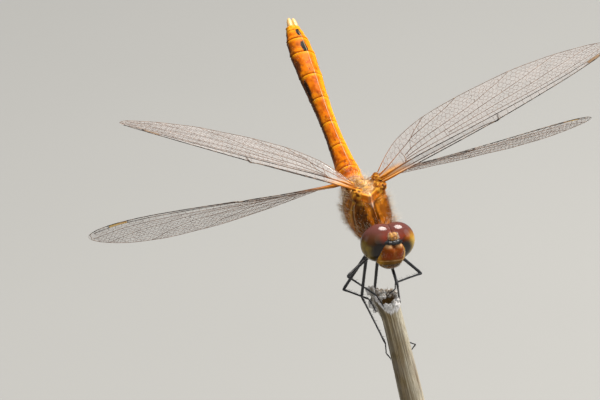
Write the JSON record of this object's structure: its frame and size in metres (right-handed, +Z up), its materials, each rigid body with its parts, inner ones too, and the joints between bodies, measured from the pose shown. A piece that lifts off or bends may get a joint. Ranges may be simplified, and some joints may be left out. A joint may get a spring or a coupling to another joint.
{
  "type": "dragonfly",
  "caption": "Life-size still model of a male darter dragonfly, abdomen raised, gripping the broken top of a dead hollow stem on a plain round display stand.",
  "frame": {"origin": "centre of the display base's underside", "axes": "+Z up; the dragonfly faces -Y, turned 18 degrees towards +X, with its abdomen raised towards +Y; +X is the insect's left"},
  "size_m": [0.0578, 0.0462, 0.0649],
  "materials": {
    "stand_base_lacquer": "dark lacquered wood, satin",
    "stand_rod_steel": "brushed steel",
    "dead_straw": "dry, fibrous, matt",
    "ochre_cuticle": "ochre-orange cuticle with fine hair",
    "orange_cuticle": "orange cuticle, soft sheen",
    "compound_eye": "glossy, dark red above and olive yellow below",
    "amber_face": "glossy amber cuticle",
    "black_cuticle": "black cuticle with fine spines",
    "wing_film": "clear membrane with dark veins, amber at the base"
  },
  "bodies": {
    "root": {"stand_base": "stand_base_lacquer", "stand_rod": "stand_rod_steel", "perch": "dead_straw", "thorax": "ochre_cuticle", "prothorax": "ochre_cuticle", "head": "ochre_cuticle", "abdomen_S1": "orange_cuticle", "abdomen_S2": "orange_cuticle", "abdomen_S3": "orange_cuticle", "abdomen_S4": "orange_cuticle", "abdomen_S5": "orange_cuticle", "abdomen_S6": "orange_cuticle", "abdomen_S7": "orange_cuticle", "abdomen_S8": "orange_cuticle", "abdomen_S9": "orange_cuticle", "abdomen_S10": "orange_cuticle", "cercus_left": "orange_cuticle", "cercus_right": "orange_cuticle", "eye_left": "compound_eye", "eye_right": "compound_eye", "mouth": "amber_face", "frons": "amber_face", "vertex": "amber_face", "antenna_left": "black_cuticle", "antenna_right": "black_cuticle", "forewing_left": "wing_film", "forewing_right": "wing_film", "hindwing_left": "wing_film", "hindwing_right": "wing_film", "leg_fore_left_femur": "black_cuticle", "leg_fore_left_tibia": "black_cuticle", "leg_fore_left_tarsus": "black_cuticle", "leg_fore_right_femur": "black_cuticle", "leg_fore_right_tibia": "black_cuticle", "leg_fore_right_tarsus": "black_cuticle", "leg_mid_left_femur": "black_cuticle", "leg_mid_left_tibia": "black_cuticle", "leg_mid_left_tarsus": "black_cuticle", "leg_mid_right_femur": "black_cuticle", "leg_mid_right_tibia": "black_cuticle", "leg_mid_right_tarsus": "black_cuticle", "leg_hind_left_femur": "black_cuticle", "leg_hind_left_tibia": "black_cuticle", "leg_hind_left_tarsus": "black_cuticle", "leg_hind_right_femur": "black_cuticle", "leg_hind_right_tibia": "black_cuticle", "leg_hind_right_tarsus": "black_cuticle"}
  },
  "joints": []
}
